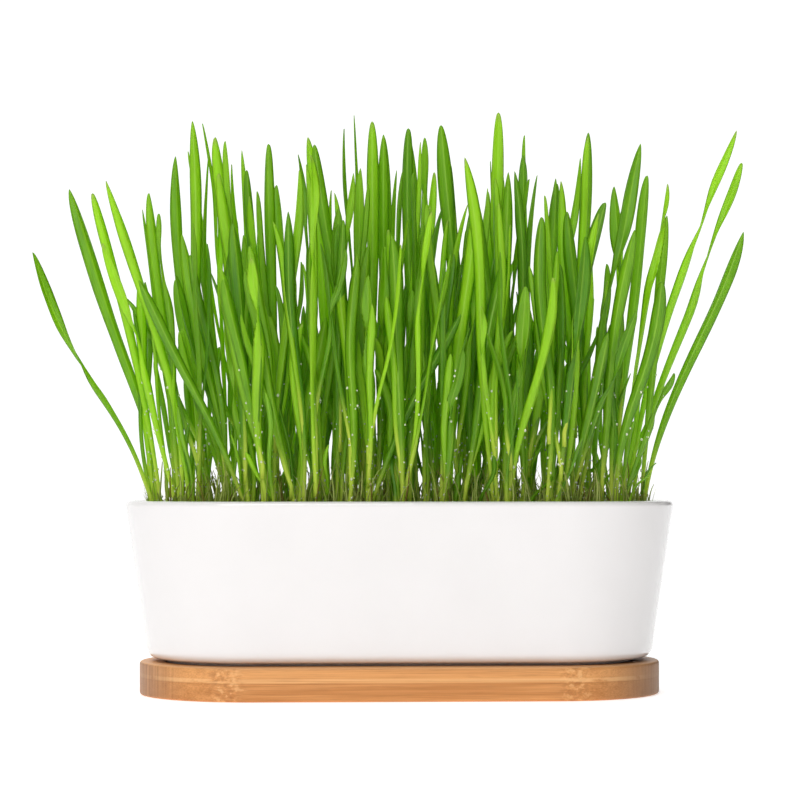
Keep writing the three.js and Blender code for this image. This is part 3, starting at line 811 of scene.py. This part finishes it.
class Growth:
    """All leaves of the pot, tuft by tuft. A leaf is drawn until it stands clear of those there."""

    def __init__(self):
        self.draw = Draws(GROWING_SEED)
        self.blades = []
        self.cuts = np.empty((0, len(LEVELS), 5))
        self.places = self.tuft_places()
        for leader in LEADERS:
            self.grow_leader(*leader)
        for count in range(SEEDLINGS_PER_TUFT):
            for place in self.places:
                if len(place["blades"]) > count:
                    continue
                stem = self.grow(place, self.fill)
                if stem and self.draw((0, 1)) < FORK_SHARE:
                    self.grow(place, lambda where, stem=stem: self.fork(stem))
        for i, blade in enumerate(self.blades):
            blade.phase = PHASE_STEP * i
            blade.turn_at = HALF_TURNS.get(i, OTHER_TURNS[i % len(OTHER_TURNS)])

    def tuft_places(self):
        """Staggered rows along X, kept inside the pot's wall."""
        reach = inner_radius(SOIL_TOP - ROOT_DEPTH) - TUFT_RADIUS - 5 * FIT_GAP
        places = []
        for row in range(-2, 3):
            y = row * (TUFT_PITCH * math.sin(math.pi / 3))
            end_x = HALF_STRAIGHT + math.sqrt(reach * reach - y * y)
            shift = 0.5 * (row % 2)
            first = math.ceil(-end_x / TUFT_PITCH - shift)
            last = math.floor(end_x / TUFT_PITCH - shift)
            for column in range(first, last + 1):
                places.append({"row": row, "x": (column + shift) * TUFT_PITCH, "y": y, "blades": []})
        return places

    def clears_lip(self, blade):
        """Whether a stem passes inside the pot's lip."""
        t = max(0, (RIM_HEIGHT - blade.low) / (blade.tip[2] - blade.low))
        x, y, _ = blade.centre(t)
        from_middle = math.hypot(max(0, abs(x) - HALF_STRAIGHT), y)
        return from_middle + STEM_HALF_WIDTH + 4 * FIT_GAP < inner_radius(RIM_HEIGHT)

    def stands_clear(self, blade):
        if not self.clears_lip(blade):
            return False
        blade.cuts = cuts_of(blade)
        apart = np.hypot(*np.moveaxis(self.cuts[..., :2] - blade.cuts[:, :2], -1, 0))
        close = apart <= self.cuts[..., 4] + blade.cuts[:, 4] + BLADE_GAP
        if blade.parent is not None:
            close[blade.parent] = False
        other, level = np.nonzero(close)
        return bool(np.all(cuts_are_clear(blade.cuts[level], self.cuts[other, level])))

    def grow(self, place, sketch):
        for _ in range(TRIES):
            blade = sketch(place)
            if self.stands_clear(blade):
                place["blades"].append(blade)
                self.blades.append(blade)
                self.cuts = np.concatenate([self.cuts, blade.cuts[None]])
                return blade
        return None

    def root_in(self, place, x, y):
        """A root's place, held inside its tuft's roots."""
        offset = np.array([x - place["x"], y - place["y"]])
        reach = TUFT_RADIUS * math.cos(math.pi / TUFT_SIDES) - ROOT_MARGIN
        size = math.hypot(*offset)
        return offset * (1 / (size or 1)) * min(size, reach) + (place["x"], place["y"])

    def grow_leader(self, row, root_x, tip_x, tip_z, half_width, bend, facing, sway=0):
        """A leading blade stands in the tuft of its row that is nearest to its root."""
        place = min((p for p in self.places if p["row"] == row), key=lambda p: abs(p["x"] - root_x))
        ends = LEADER_DRAWS

        def sketch(where):
            root = self.root_in(where, root_x, where["y"] + self.draw(ends["root_depth"]))
            tip_y = root[1] + self.draw(ends["tip_depth"])
            depth = 1 + tip_y / SIGHT
            tall = SOIL_TOP + (tip_z - SOIL_TOP) * depth
            tip = (tip_x * depth + SIGHT_SLANT * tip_y, tip_y, tall)
            own_bend = bend + self.draw(ends["bend"])
            own_sway = sway + self.draw(ends["sway"])
            face = math.radians(facing) + self.draw.angle(ends["turn"])
            twist = self.draw.angle(ends["twist"])
            return Blade(root, SOIL_TOP, tip, half_width, own_bend, own_sway, face, twist)

        self.grow(place, sketch)

    def fill(self, place):
        """A blade of the fill, lower than the leading ones and leaning outwards a little."""
        ends = FILL_DRAWS
        x = place["x"] + self.draw(ends["root"])
        root = self.root_in(place, x, place["y"] + self.draw(ends["root"]))
        tip_x = root[0] * FILL_SPREAD_X + self.draw(ends["tip_x"])
        tip_y = root[1] * FILL_SPREAD_Y + self.draw(ends["tip_y"])
        height = self.draw(ends["height"]) - FILL_END_DROP * abs(root[0])
        half_width, bend, sway = (self.draw(ends[k]) for k in ("half_width", "bend", "sway"))
        face, twist = (self.draw.angle(ends[k]) for k in ("facing", "twist"))
        tip = (tip_x, tip_y, SOIL_TOP + height)
        return Blade(root, SOIL_TOP, tip, half_width, bend, sway, face, twist)

    def fork(self, parent):
        """A second leaf, out of the side of a stem."""
        ends = FORK_DRAWS
        start = parent.centre(self.draw(ends["start"]))
        away = self.draw.angle(ends["away"])
        lean = self.draw(ends["lean"])
        tip = (
            start[0] + FORK_FOLLOW * (parent.tip[0] - start[0]) + lean * math.cos(away),
            start[1] + FORK_FOLLOW * (parent.tip[1] - start[1]) + lean * math.sin(away),
            start[2] + self.draw(ends["height"]),
        )
        half_width, bend = (self.draw(ends[k]) for k in ("half_width", "bend"))
        face = parent.face + self.draw.angle(ends["turn"])
        twist = self.draw.angle(ends["twist"])
        stem = self.blades.index(parent)
        return Blade(start[:2], start[2], tip, half_width, bend, 0, face, twist, stem)


# A leaf's rings, and a ring's points: place across the leaf from -1 to 1, and upper side, edge or
# underside
ROWS = 36
RING_ACROSS = np.array([1, 0.6, 0.1, -0.1, -0.6, -1, -0.6, -0.1, 0.1, 0.6])
RING_SIDE = np.array([0, 1, 1, 1, 1, 0, -1, -1, -1, -1])
RING = len(RING_ACROSS)
# Along a leaf from 0 to 1: where its point starts, where it widens, and its waist at a half turn
LEAF_TAPER = 0.8
WIDENS_AT = 0.4
WIDENS_OVER = 0.45
WAIST_DEPTH = 0.45
WAIST_LENGTH = 0.09
# Second leaves: the height of tip that counts as tall, the share of tall and of low stems with one,
# and the lean along the pot above which a stem has none. Dew has a limit of its own.
TALL_LEAF = 140
TALL_PAIR_SHARE = 0.55
LOW_PAIR_SHARE = 0.25
PAIR_LEAN = 16
DEW_LEAN = 24
# Seeds of what the growing rule doesn't draw
CRUMB_SEED = 11
LEAF_SEED = 5
LITTER_SEED = 23
DEW_SEED = 37


def leaf_half(blade, t, grass):
    """Half the width of the leaf itself: a slimmer stem than the solid's, widest in its upper part,
    with a waist where it makes a half turn, and a point that is blunter on some leaves."""
    to_tip = np.maximum(0, (t - LEAF_TAPER) / (1 - LEAF_TAPER))
    open_half = grass.slimness * blade.half_width
    stem = min(grass.stem_width / 2 / MM, open_half)
    upper = np.clip((t - WIDENS_AT) / WIDENS_OVER, 0, 1)
    wide = (stem + (open_half - stem) * opening(t)) * (0.86 + 0.28 * upper)
    if blade.turn_at is not None:
        wide = wide * (1 - WAIST_DEPTH * np.exp(-(((t - blade.turn_at) / WAIST_LENGTH) ** 2)))
    return wide * np.maximum(0.0001, 1 - to_tip**2.2) ** (0.57 + 0.17 * math.sin(blade.phase))


def leaf_frame(blade, t, grass):
    """Middle, width direction and upper side's normal of the leaf itself. Its middle line wavers a
    little, and it may make a half turn."""
    centre, across, normal = blade.frame(t)
    if blade.turn_at is not None:
        s = np.clip((t - blade.turn_at) / TURN_LENGTH + 0.5, 0, 1)
        turn = (np.pi * s * s * (3 - 2 * s))[:, None]
        cos, sin = np.cos(turn), np.sin(turn)
        across, normal = across * cos + normal * sin, normal * cos - across * sin
    waver = grass.waver / MM * np.sin(np.pi * t)
    sideways = waver * np.sin(5 * t + blade.phase)
    forward = waver * np.cos(4 * t + 2 * blade.phase)
    return centre + across * sideways[:, None] + normal * forward[:, None], across, normal


def leaf_lift(blade, t, across, side, grass):
    """Height of a leaf's surface over its middle line: a V whose edges ripple, half the thickness
    above or below."""
    half, spread = leaf_half(blade, t, grass), opening(t)
    thick = (grass.stem_thickness + (grass.leaf_thickness - grass.stem_thickness) * spread) / MM / 2
    thick = np.minimum(thick, half + 0.02)
    rise = grass.fold * half * spread * np.abs(across)
    ripple = 0.12 * half * spread * np.sin(t * 19 + blade.phase + 1.3 * np.sign(across)) * across**2
    return rise + ripple + thick * side * np.sqrt(1 - across**2)


def blade_surface(blade, grass, tone):
    """Points in metres and leaf values of one blade. Rings round its middle line: an ellipse on the stem
    that flattens into a shallow V, one sunk ring below, and a point for the tip."""
    t = 1 - (1 - np.linspace(0, 1, ROWS)) ** 1.25
    t[-1] = 0.996
    centre, across, normal = leaf_frame(blade, t, grass)
    half = leaf_half(blade, t, grass)[:, None]
    lift = leaf_lift(blade, t[:, None], RING_ACROSS, RING_SIDE, grass)
    spread = across[:, None] * (half * RING_ACROSS)[..., None]
    rings = centre[:, None] + spread + normal[:, None] * lift[..., None]
    sunk = rings[:1] - (0, 0, STEM_SUNK)
    tip = blade.centre(1.0)
    points = np.concatenate([sunk.reshape(-1, 3), rings.reshape(-1, 3), tip[None]]) * MM
    along = np.repeat(np.concatenate([[0], t]), RING)
    leaf = np.stack([np.tile(RING_ACROSS, ROWS + 1), along, np.full(len(along), tone)], -1)
    return points, np.concatenate([leaf, [[0, 1, tone]]])


def leans(blade):
    """How far a blade leans along the pot."""
    return abs(blade.tip[0] - blade.root[0])


def second_leaf(blade, draws):
    """The slim second leaf of a seedling. It leaves the stem low down and ends below the first's tip."""
    start = blade.centre(draws.uniform(0.08, 0.3))
    away, lean = draws.uniform(0, 2 * np.pi), draws.uniform(2.5, 8)
    follow = draws.uniform(0.84 if blade.tip[2] > TALL_LEAF else 0.6, 1.0)
    aside = lean * np.array([math.cos(away), math.sin(away), 0])
    tip = start + follow * (np.array(blade.tip) - start) + aside
    half = draws.uniform(1.0, 1.8)
    bend, face = draws.uniform(0.9, 1.4), blade.face + draws.uniform(-0.9, 0.9)
    sway, twist = draws.uniform(-0.6, 0.6), draws.uniform(-0.6, 0.6)
    phase = draws.uniform(0, 2 * np.pi)
    return Blade(start[:2], start[2], tip, half, bend, sway, face, twist, phase=phase)


def young_shoot(place, draws):
    """A thin young shoot between a tuft's stems."""
    angle, reach = draws.uniform(0, 2 * np.pi), 6 * math.sqrt(draws.uniform(0, 1))
    root = np.array([place["x"] + reach * math.cos(angle), place["y"] + reach * math.sin(angle)])
    lean = root * (1.06, 1.1) + draws.normal(0, 4.5, 2)
    tip = (*lean, SOIL_TOP + 10 + 56 * draws.beta(1.1, 1.6))
    face, half, bend = draws.uniform(-1.3, 1.3), draws.uniform(0.55, 1.1), draws.uniform(1, 1.5)
    sway, twist = draws.uniform(-0.8, 0.8), draws.uniform(-0.7, 0.7)
    phase = draws.uniform(0, 2 * np.pi)
    return Blade(root, SOIL_TOP, tip, half, bend, sway, face, twist, phase=phase)


def blade_faces():
    """Faces of one blade: quads between rings, a fan to the tip, and a closed foot."""
    rows = ROWS + 1
    around = np.arange(RING)
    last = (rows - 1) * RING
    fan = np.stack([last + around, last + (around + 1) % RING, np.full(RING, rows * RING)], -1)
    return grid_faces(rows, RING).tolist() + fan.tolist() + [around[::-1].tolist()]


GROWN = {}


def growth():
    """The pot's leaves, grown once."""
    if "all" not in GROWN:
        GROWN["all"] = Growth()
    return GROWN["all"]


# Operators


class WHEATGRASS_OT_tray(bpy.types.Operator):
    """Bamboo tray: a board with round ends, eased edges and a shallow recess"""

    bl_idname = "wheatgrass.tray"
    bl_label = "Bamboo tray"

    def execute(self, context):
        tray = context.scene.wheatgrass.tray
        radius = tray.length / 2 - HALF_STRAIGHT * MM
        top, edge = tray.height, tray.edge
        floor = top - tray.recess_depth
        soft = 0.0003
        recess = tray.recess_radius
        profile = np.concatenate(
            [
                np.linspace((0.004, 0), (radius - edge, 0), 4)[:-1],
                rounded((radius - edge, 0), (radius, 0), (radius, edge)),
                np.linspace((radius, edge), (radius, top - edge), 8)[1:-1],
                rounded((radius, top - edge), (radius, top), (radius - edge, top)),
                rounded((recess + soft, top), (recess, top), (recess, top - soft), 4),
                rounded((recess, floor + soft), (recess, floor), (recess - soft, floor), 4),
                [(0.004, floor)],
            ]
        )
        rings = long_round(profile[:, 0], profile[:, 1], np.ones(len(profile)))
        rows, columns = rings.shape[:2]
        faces = grid_faces(rows, columns).tolist()
        faces.append(list(range(columns))[::-1])
        faces.append(list(range((rows - 1) * columns, rows * columns)))
        points, material, sharp = rings.reshape(-1, 3), bamboo_finish(tray), math.radians(40)
        add_piece("bamboo_board", points, faces, material, ["bamboo_tray"], sharp=sharp)
        return {"FINISHED"}


class WHEATGRASS_OT_pot(bpy.types.Operator):
    """Glazed pot: foot ring, rounded underside, leaning wall, round lip, inside and drain hole"""

    bl_idname = "wheatgrass.pot"
    bl_label = "Glazed pot"

    def execute(self, context):
        pot = context.scene.wheatgrass.pot
        under, corner = pot.underside / MM, pot.corner / MM
        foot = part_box("ceramic_pot")[0].z / MM
        outside, inside = pot.foot_outer / MM, pot.foot_inner / MM
        floor = under + pot.floor / MM
        drain, lip = pot.drain / MM, WALL / 2
        low, top = outer_radius(under), RIM_HEIGHT - lip
        flat = inner_radius(floor)
        wall_low = (outer_radius(under + corner), under + corner)
        wall_top, inner_top = (outer_radius(top), top), (inner_radius(top), top)
        lip_top = (RIM_RADIUS - lip, RIM_HEIGHT)
        inner_low = (inner_radius(floor + corner), floor + corner)
        soft = 0.6
        profile = np.concatenate(
            [
                [(drain, under + 0.4), (drain + 0.4, under), (inside - soft, under)],
                [(inside, under - soft), (inside, foot + soft), (inside + soft, foot)],
                [(outside - soft, foot), (outside, foot + soft)],
                [(outside, under - soft), (outside + soft, under)],
                rounded((low - corner, under), (low, under), wall_low, 12),
                np.linspace(wall_low, wall_top, 16)[1:-1],
                rounded(wall_top, (RIM_RADIUS, RIM_HEIGHT), lip_top, 10),
                rounded(lip_top, (RIM_RADIUS - WALL, RIM_HEIGHT), inner_top, 10)[1:],
                np.linspace(inner_top, inner_low, 6)[1:-1],
                rounded(inner_low, (flat, floor), (flat - corner, floor), 6),
                [(drain + 0.4, floor), (drain, floor - 0.4)],
            ]
        )
        round_hole = profile[:, 0] < drain + 1
        pull = np.where(round_hole, 0.0, 1.0)
        rings = long_round(profile[:, 0] * MM, profile[:, 1] * MM, pull, 56)
        faces = grid_faces(*rings.shape[:2], wrap_rows=True).tolist()
        points, material, sharp = rings.reshape(-1, 3), glaze_finish(pot), math.radians(50)
        add_piece("glazed_pot", points, faces, material, ["ceramic_pot"], sharp=sharp)
        return {"FINISHED"}


class WHEATGRASS_OT_soil(bpy.types.Operator):
    """Soil: an uneven top that fills the pot, with loose crumbs"""

    bl_idname = "wheatgrass.soil"
    bl_label = "Soil"

    def execute(self, context):
        soil = context.scene.wheatgrass.soil
        radius = inner_radius(SOIL_TOP) - FIT_GAP
        across, along = 70, 170
        v = np.sin(np.linspace(-np.pi / 2, np.pi / 2, across))[:, None]
        u = np.linspace(-1, 1, along)[None]
        y = v * radius + 0 * u
        x = u * (HALF_STRAIGHT + np.sqrt(np.maximum(0, radius**2 - y**2)))
        clods = soil_height(x, y) * soil.roughness / MM
        top = np.stack([x, y, SOIL_TOP - 0.5 + clods], -1)
        rim = np.concatenate([top[0], top[1:-1, -1], top[-1, ::-1], top[1:-1, 0][::-1]])
        grid = np.arange(across * along).reshape(across, along)
        loop = np.concatenate([grid[0], grid[1:-1, -1], grid[-1, ::-1], grid[1:-1, 0][::-1]])
        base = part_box("soil")[0].z / MM
        shrink = (inner_radius(base) - 4 * FIT_GAP - 2) / radius
        end = np.sign(rim[:, 0]) * np.minimum(np.abs(rim[:, 0]), HALF_STRAIGHT)
        low_x, low_y = end + (rim[:, 0] - end) * shrink, rim[:, 1] * shrink
        bottom = np.stack([low_x, low_y, np.full(len(rim), base)], -1)
        low = across * along + np.arange(len(loop))
        sides = np.stack([low, np.roll(low, -1), np.roll(loop, -1), loop], -1)
        faces = grid_faces(across, along, wrap_columns=False).tolist()
        faces += sides.tolist() + [low[::-1].tolist()]
        points = np.concatenate([top.reshape(-1, 3), bottom]) * MM
        material = soil_finish(soil)
        add_piece("soil_fill", points, faces, material, ["soil"])

        draws = np.random.default_rng(CRUMB_SEED)
        spots = spread_in_pot(draws, soil.crumbs, radius - 1.5)
        shape, crumb_faces = ball(3, 6)
        count = len(spots)
        size = draws.uniform(0.35, 1.25, (count, 1, 1)) * draws.uniform(0.7, 1.2, (count, 1, 3))
        lumps = shape * size * draws.uniform(0.75, 1.2, (count, len(shape), 1))
        level = SOIL_TOP - 0.4 + soil_height(*spots.T) * soil.roughness / MM
        crumbs = (lumps + np.column_stack([spots, level])[:, None]).reshape(-1, 3) * MM
        faces = repeated(crumb_faces, count, len(shape))
        add_piece("soil_crumbs", crumbs, faces, material)
        return {"FINISHED"}


class WHEATGRASS_OT_grass(bpy.types.Operator):
    """Wheatgrass: every tuft's leaves, grown by the rule"""

    bl_idname = "wheatgrass.grass"
    bl_label = "Wheatgrass"

    def execute(self, context):
        grass = context.scene.wheatgrass.grass
        material = grass_finish(grass)
        draws = np.random.default_rng(LEAF_SEED)
        one = blade_faces()
        for i, place in enumerate(growth().places):
            stems = [b for b in place["blades"] if b.parent is None and leans(b) < PAIR_LEAN]
            shares = [TALL_PAIR_SHARE if b.tip[2] > TALL_LEAF else LOW_PAIR_SHARE for b in stems]
            pairs = [b for b, part in zip(stems, shares) if draws.random() < part]
            blades = place["blades"] + [second_leaf(b, draws) for b in pairs]
            blades += [young_shoot(place, draws) for _ in range(grass.shoots)]
            tones = draws.beta(0.8, 0.95, len(blades))
            made = [blade_surface(b, grass, t) for b, t in zip(blades, tones)]
            points = np.concatenate([m[0] for m in made])
            leaf = np.concatenate([m[1] for m in made])
            faces = repeated(one, len(made), len(made[0][0]))
            tuft = f"tuft_{i + 1:02d}"
            add_piece(tuft, points, faces, material, [f"grass_{tuft}"], leaf)
        return {"FINISHED"}


class WHEATGRASS_OT_litter(bpy.types.Operator):
    """Spent grains on the soil, and dry rootlets and sheaths between the stems"""

    bl_idname = "wheatgrass.litter"
    bl_label = "Grains and rootlets"

    def execute(self, context):
        soil = context.scene.wheatgrass.soil
        radius = inner_radius(SOIL_TOP) - FIT_GAP
        draws = np.random.default_rng(LITTER_SEED)
        spots = spread_in_pot(draws, soil.grains, radius - 3.5)
        shape, faces = ball(5, 8)
        belly = 1 - 0.25 * np.exp(-((shape[:, 1] / 0.3) ** 2)) * (shape[:, 2] > 0)
        size = np.stack(np.broadcast_arrays(3.1, 1.45, 1.3 * belly), -1)
        grain = shape[:, [2, 1, 0]] * (1, 1, -1) * size
        turn = draws.uniform(0, 2 * np.pi, (len(spots), 1))
        x = grain[:, 0] * np.cos(turn) - grain[:, 1] * np.sin(turn)
        y = grain[:, 0] * np.sin(turn) + grain[:, 1] * np.cos(turn)
        z = grain[:, 2] + draws.uniform(-0.25, 0.25, (len(spots), 1)) * grain[:, 0]
        level = SOIL_TOP + 0.1 + soil_height(*spots.T) * soil.roughness / MM
        points = np.stack([x + spots[:, :1], y + spots[:, 1:], z + level[:, None]], -1)
        around = np.arctan2(shape[:, 1], shape[:, 0]) / np.pi
        tones = np.repeat(draws.uniform(0, 1, len(spots)), len(shape))
        ends, around = np.tile(shape[:, 2], len(spots)), np.tile(around, len(spots))
        leaf = np.column_stack([ends, around, tones])
        faces = repeated(faces, len(spots), len(shape))
        add_piece("wheat_grains", points.reshape(-1, 3) * MM, faces, grain_finish(), leaf=leaf)

        feet = spread_in_pot(draws, soil.rootlets, radius - 2)
        count = len(feet)
        t = np.linspace(0, 1, 7)
        away = draws.uniform(0, 2 * np.pi, (count, 1))
        reach = draws.uniform(0.5, 5.0, (count, 1))
        tall = 6 + 17 * draws.beta(1.2, 2.2, (count, 1))
        curl = draws.uniform(-1.2, 1.2, (count, 1)) * np.sin(np.pi * t)
        x = feet[:, :1] + reach * t**1.4 * np.cos(away) - curl * np.sin(away)
        y = feet[:, 1:] + reach * t**1.4 * np.sin(away) + curl * np.cos(away)
        z = SOIL_TOP - 1.2 + tall * (t - 0.22 * t**3)
        middle = np.stack([x, y, z + 0 * x], -1)
        thick = draws.uniform(0.12, 0.6, (count, 1)) * (1 - 0.7 * t)
        ring = np.array([(1, 0, 0), (-0.5, 0.87, 0), (-0.5, -0.87, 0)])
        tubes = middle[:, :, None] + thick[:, :, None, None] * ring
        points = np.concatenate([tubes.reshape(count, -1, 3), middle[:, -1:] + (0, 0, 0.2)], 1)
        rows = len(t)
        last = (rows - 1) * 3
        fan = [[last + k, last + (k + 1) % 3, rows * 3] for k in range(3)]
        faces = repeated(grid_faces(rows, 3).tolist() + fan + [[2, 1, 0]], count, rows * 3 + 1)
        tones = np.repeat(draws.uniform(0, 1, count), rows * 3 + 1)
        leaf = np.column_stack([0 * tones, 0 * tones, tones])
        points = points.reshape(-1, 3) * MM
        add_piece("dry_rootlets", points, faces, rootlet_finish(), leaf=leaf)
        return {"FINISHED"}


class WHEATGRASS_OT_dew(bpy.types.Operator):
    """Dew: small drops on the lower stems"""

    bl_idname = "wheatgrass.dew"
    bl_label = "Dew"

    def execute(self, context):
        grass = context.scene.wheatgrass.grass
        draws = np.random.default_rng(DEW_SEED)
        blades = [b for b in growth().blades if leans(b) < DEW_LEAN]
        count = grass.drops
        owner = draws.integers(0, len(blades), count)
        height = SOIL_TOP + 2 + 44 * draws.beta(1.0, 1.9, count)
        angle = draws.uniform(0, 2 * np.pi, count)
        centres = []
        for k, blade in enumerate(blades):
            mine = owner == k
            t = np.clip((height[mine] - blade.low) / (blade.tip[2] - blade.low), 0.02, 0.9)
            middle, across, normal = leaf_frame(blade, t, grass)
            wide, side = np.cos(angle[mine]), np.sign(np.sin(angle[mine]))
            lift = leaf_lift(blade, t, wide, side, grass)
            aside = leaf_half(blade, t, grass) * wide
            centres.append(middle + across * aside[:, None] + normal * lift[:, None])
        centres = np.concatenate(centres)
        shape, faces = ball(3, 6)
        size = (0.17 + 0.34 * draws.beta(1.2, 2.6, len(centres)))[:, None, None]
        points = (centres[:, None] + shape * size * (1, 1, 1.15)).reshape(-1, 3) * MM
        add_piece("dew_drops", points, repeated(faces, len(centres), len(shape)), dew_finish())
        return {"FINISHED"}


# The studio, in metres
FLOOR_RADIUS = 8
FLOOR_SIDES = 96
FLOOR_DROP = 0.00005
KEY_SIZE = 1.1
KEY_PLACE = (-0.42, -1.4, 1.05)
KEY_AIM_HEIGHT = 0.08
SENSOR_WIDTH = 36


class WHEATGRASS_OT_stage(bpy.types.Operator):
    """Studio: pale floor, bright surround that falls off to the right, key light and camera"""

    bl_idname = "wheatgrass.stage"
    bl_label = "Studio"

    def execute(self, context):
        scene = context.scene
        stage = scene.wheatgrass.stage
        mesh = bpy.data.meshes.new("studio_floor")
        turn = np.linspace(0, 2 * np.pi, FLOOR_SIDES, endpoint=False)
        x, y = np.cos(turn) * FLOOR_RADIUS, np.sin(turn) * FLOOR_RADIUS
        disc = np.stack([x, y, 0 * turn - FLOOR_DROP], -1)
        mesh.from_pydata(disc.tolist(), [], [list(range(FLOOR_SIDES))])
        mesh.materials.append(floor_finish())
        floor = bpy.data.objects.new("studio_floor", mesh)
        scene.collection.objects.link(floor)

        world = bpy.data.worlds.new("studio")
        world.use_nodes = True
        scene.world = world
        tree = world.node_tree
        background = tree.nodes["Background"]
        background.inputs["Color"].default_value = (1, 1, 1, 1)
        sky = Value(tree, tree.nodes.new("ShaderNodeTexCoord").outputs["Generated"])
        x, y, _ = sky.parts()
        front = (1 - y.smooth(-0.1, 0.35)) * (stage.front - 1) + 1
        right = x.smooth(0.28, 0.55) * (stage.shade - 1) + 1
        left = (x * -1).smooth(0.5, 0.8) * (stage.left - 1) + 1
        strength = front * right * left * stage.surround
        tree.links.new(strength.socket, background.inputs["Strength"])

        key = bpy.data.lights.new("key", "AREA")
        key.shape, key.size, key.energy = "DISK", KEY_SIZE, stage.key
        lamp = bpy.data.objects.new("key", key)
        lamp.location = KEY_PLACE
        aim = lamp.location.copy()
        aim.z -= KEY_AIM_HEIGHT
        lamp.rotation_euler = aim.to_track_quat("Z", "Y").to_euler()
        scene.collection.objects.link(lamp)

        camera = bpy.data.cameras.new("camera")
        camera.lens, camera.sensor_width = stage.lens, SENSOR_WIDTH
        camera.clip_start, camera.clip_end = 0.01, 30
        eye = bpy.data.objects.new("camera", camera)
        back, turn = stage.distance, stage.turn
        eye.location = (-back * math.sin(turn), -back * math.cos(turn), stage.height)
        eye.rotation_euler = (math.pi / 2 + stage.tilt, 0, -stage.turn)
        scene.collection.objects.link(eye)
        scene.camera = eye
        scene.view_settings.view_transform = "Standard"
        return {"FINISHED"}


OPERATORS = (
    WHEATGRASS_OT_tray,
    WHEATGRASS_OT_pot,
    WHEATGRASS_OT_soil,
    WHEATGRASS_OT_grass,
    WHEATGRASS_OT_litter,
    WHEATGRASS_OT_dew,
    WHEATGRASS_OT_stage,
)


class WHEATGRASS_PT_panel(bpy.types.Panel):
    """Lists the planter's pieces"""

    bl_idname = "WHEATGRASS_PT_panel"
    bl_label = "Wheatgrass tray"
    bl_space_type = "VIEW_3D"
    bl_region_type = "UI"
    bl_category = "Wheatgrass"

    def draw(self, context):
        for operator in OPERATORS:
            self.layout.operator(operator.bl_idname)
        for group in ("tray", "pot", "soil", "grass", "stage"):
            settings = getattr(context.scene.wheatgrass, group)
            box = self.layout.box()
            box.label(text=group.capitalize())
            for name in settings.__annotations__:
                box.prop(settings, name)


CLASSES = (
    TraySettings,
    PotSettings,
    SoilSettings,
    GrassSettings,
    StageSettings,
    WheatgrassSettings,
    *OPERATORS,
    WHEATGRASS_PT_panel,
)


def register():
    for cls in CLASSES:
        bpy.utils.register_class(cls)
    bpy.types.Scene.wheatgrass = bpy.props.PointerProperty(type=WheatgrassSettings)


def unregister():
    del bpy.types.Scene.wheatgrass
    for cls in reversed(CLASSES):
        bpy.utils.unregister_class(cls)


def main():
    register()
    for operator in OPERATORS:
        group, name = operator.bl_idname.split(".")
        getattr(getattr(bpy.ops, group), name)()


if __name__ == "__main__":
    main()
